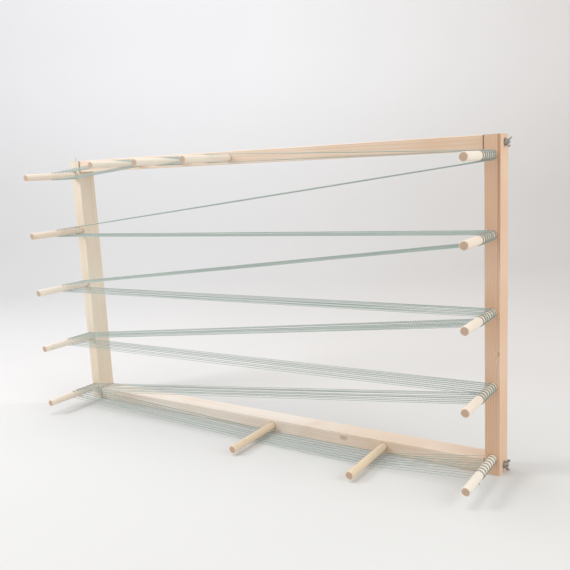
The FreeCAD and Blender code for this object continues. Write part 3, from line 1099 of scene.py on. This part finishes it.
class WARPING_OT_fittings(FrameOperator, bpy.types.Operator):
    """Make the threaded studs and cast wing nuts and plate the washers"""

    bl_idname = "warping.fittings"
    bl_label = "Fittings"

    def execute(self, context):
        settings = context.scene.warping_fittings
        metal = metal_material("Dull zinc plate")
        tree = thread_tree()
        for side, sign in SIDES.items():
            for level_name, level in RAIL_LEVELS.items():
                corner = side + "_" + level_name
                repaint("washer_" + corner, metal)
                self.add_stud(corner, sign, level, settings, tree, metal)
                self.add_nut(corner, sign, level, settings, metal)
        return {"FINISHED"}

    def add_stud(self, corner, sign, level, settings, tree, metal):
        """One stud with a real thread on its outer part."""
        start = POST_INNER - STUD_GRIP
        end = POST_OUTER + WASHER_THICKNESS + NUT_HEIGHT + STUD_TAIL
        threaded = POST_OUTER - 2 * MM
        ring_step = settings.thread_pitch / 8
        rings = math.ceil((end - threaded) / ring_step)
        length = end - start
        chamfer = 0.6 * MM
        profile = [(0, 0), (STUD_RADIUS - chamfer, 0), (STUD_RADIUS, chamfer)]
        for ring in range(rings):
            height = threaded - start + ring * ring_step
            if height < length - chamfer:
                profile.append((STUD_RADIUS, height))
        profile += [(STUD_RADIUS, length - chamfer), (STUD_RADIUS - chamfer, length), (0, length)]
        shape = bmesh.new()
        lathe(shape, profile, 32, outward_cell(sign, start, level))
        thing = shape_object(shape, "stud " + corner)
        levels = {"Level Y": RAIL_MIDDLE, "Level Z": level}
        apply_tree(thing, tree, Pitch=settings.thread_pitch, Depth=settings.thread_depth,
                   Start=threaded, End=end - 0.3 * MM, Outward=float(sign), Material=metal, **levels)
        piece = settle(thing, "stud_" + corner + "_threaded")
        dress(piece, "stud_" + corner, "frame")

    def add_nut(self, corner, sign, level, settings, metal):
        """One cast wing nut: hub and wings run together with soft corners, then bored."""
        cell = outward_cell(sign, POST_OUTER + WASHER_THICKNESS, level)
        cell = cell @ Matrix.Rotation(math.radians(WING_TURNS[corner]), 4, "Z")
        shape = bmesh.new()
        hub = [(0, 0), (5.2, 0), (5.5, 0.3), (5.5, 1), (5.1, 1.5), (4.6, 3.2), (4.35, 4.8),
               (4.1, 5.3), (3.8, 5.5), (0, 5.5)]
        lathe(shape, [(radius * MM, height * MM) for radius, height in hub], NUT_SEGMENTS, Matrix())
        for way in (1, -1):
            add_wing(shape, way)
        thing = shape_object(shape, "nut " + corner)
        cells = thing.modifiers.new("Cast", "REMESH")
        cells.mode = "VOXEL"
        cells.voxel_size = settings.cast_grain
        soft = thing.modifiers.new("Soften", "SMOOTH")
        soft.factor = 0.5
        soft.iterations = 5
        cast = settle(thing, "nut " + corner)
        bore = bmesh.new()
        reach = STUD_RADIUS + NUT_FIT
        top = NUT_HEIGHT + 0.8 * MM
        profile = [(0, -MM), (reach + MM, -MM), (reach, 0.15 * MM), (reach, NUT_HEIGHT - 0.2 * MM),
                   (reach + MM, top), (0, top)]
        lathe(bore, profile, NUT_SEGMENTS, Matrix())
        drill = shape_object(bore, "bore")
        cut = cast.modifiers.new("Bore", "BOOLEAN")
        cut.operation = "DIFFERENCE"
        cut.solver = "EXACT"
        cut.object = drill
        fewer = cast.modifiers.new("Fewer faces", "DECIMATE")
        fewer.ratio = 0.35
        piece = settle(cast, "wing_nut_" + corner + "_cast")
        bpy.data.objects.remove(drill)
        piece.data.transform(cell)
        piece.data.materials.clear()
        piece.data.materials.append(metal)
        for face in piece.data.polygons:
            face.use_smooth = True
        dress(piece, "wing_nut_" + corner, "wing_nut_" + corner)


def add_wing(shape, way):
    """One wing of the nut, thick at its root and thin at its rounded tip, drawn in millimetres."""
    outline = [(3, 1), (5.2, 1.7), (7.5, 2.7), (9.2, 4), (9.9, 5.6), (10, 7.3), (9.4, 8.7),
               (8.2, 9.4), (6.9, 9.2), (5.8, 8.1), (4.8, 6.4), (3.9, 5.1), (3, 4.8)]
    layers = []
    for side in (-1, 1):
        layer = []
        for reach, height in outline:
            half = 1.4 - 0.35 * (reach - 3) / 7
            layer.append(shape.verts.new(Vector((way * reach, side * half, height)) * MM))
        layers.append(layer)
    count = len(outline)
    for i in range(count):
        following = (i + 1) % count
        shape.faces.new((layers[0][i], layers[0][following], layers[1][following], layers[1][i]))
    shape.faces.new(layers[0])
    shape.faces.new(list(reversed(layers[1])))


class WARPING_PT_panel(bpy.types.Panel):
    """Buttons and settings of the warping frame"""

    bl_idname = "WARPING_PT_panel"
    bl_label = "Warping Frame"
    bl_space_type = "VIEW_3D"
    bl_region_type = "UI"
    bl_category = "Warping Frame"

    def draw(self, context):
        for operator in OPERATORS:
            self.layout.operator(operator.bl_idname)
        for group in SETTINGS:
            box = self.layout.box()
            for name in SETTINGS[group].__annotations__:
                box.prop(getattr(context.scene, group), name)


SETTINGS = {
    "warping_studio": StudioSettings,
    "warping_timber": TimberSettings,
    "warping_yarn": YarnSettings,
    "warping_fittings": FittingSettings,
}
OPERATORS = (WARPING_OT_studio, WARPING_OT_tails, WARPING_OT_timbers, WARPING_OT_pegs, WARPING_OT_warp,
             WARPING_OT_fittings)


def register():
    """Make the settings, operators and panel known to Blender."""
    for name, group in SETTINGS.items():
        bpy.utils.register_class(group)
        setattr(bpy.types.Scene, name, PointerProperty(type=group))
    for operator in OPERATORS:
        bpy.utils.register_class(operator)
    bpy.utils.register_class(WARPING_PT_panel)


def unregister():
    """Undo register."""
    bpy.utils.unregister_class(WARPING_PT_panel)
    for operator in reversed(OPERATORS):
        bpy.utils.unregister_class(operator)
    for name, group in SETTINGS.items():
        delattr(bpy.types.Scene, name)
        bpy.utils.unregister_class(group)


def main():
    """Make every piece in turn."""
    register()
    bpy.ops.warping.studio()
    bpy.ops.warping.tails()
    bpy.ops.warping.timbers()
    bpy.ops.warping.pegs()
    bpy.ops.warping.warp()
    bpy.ops.warping.fittings()


if __name__ == "__main__":
    main()
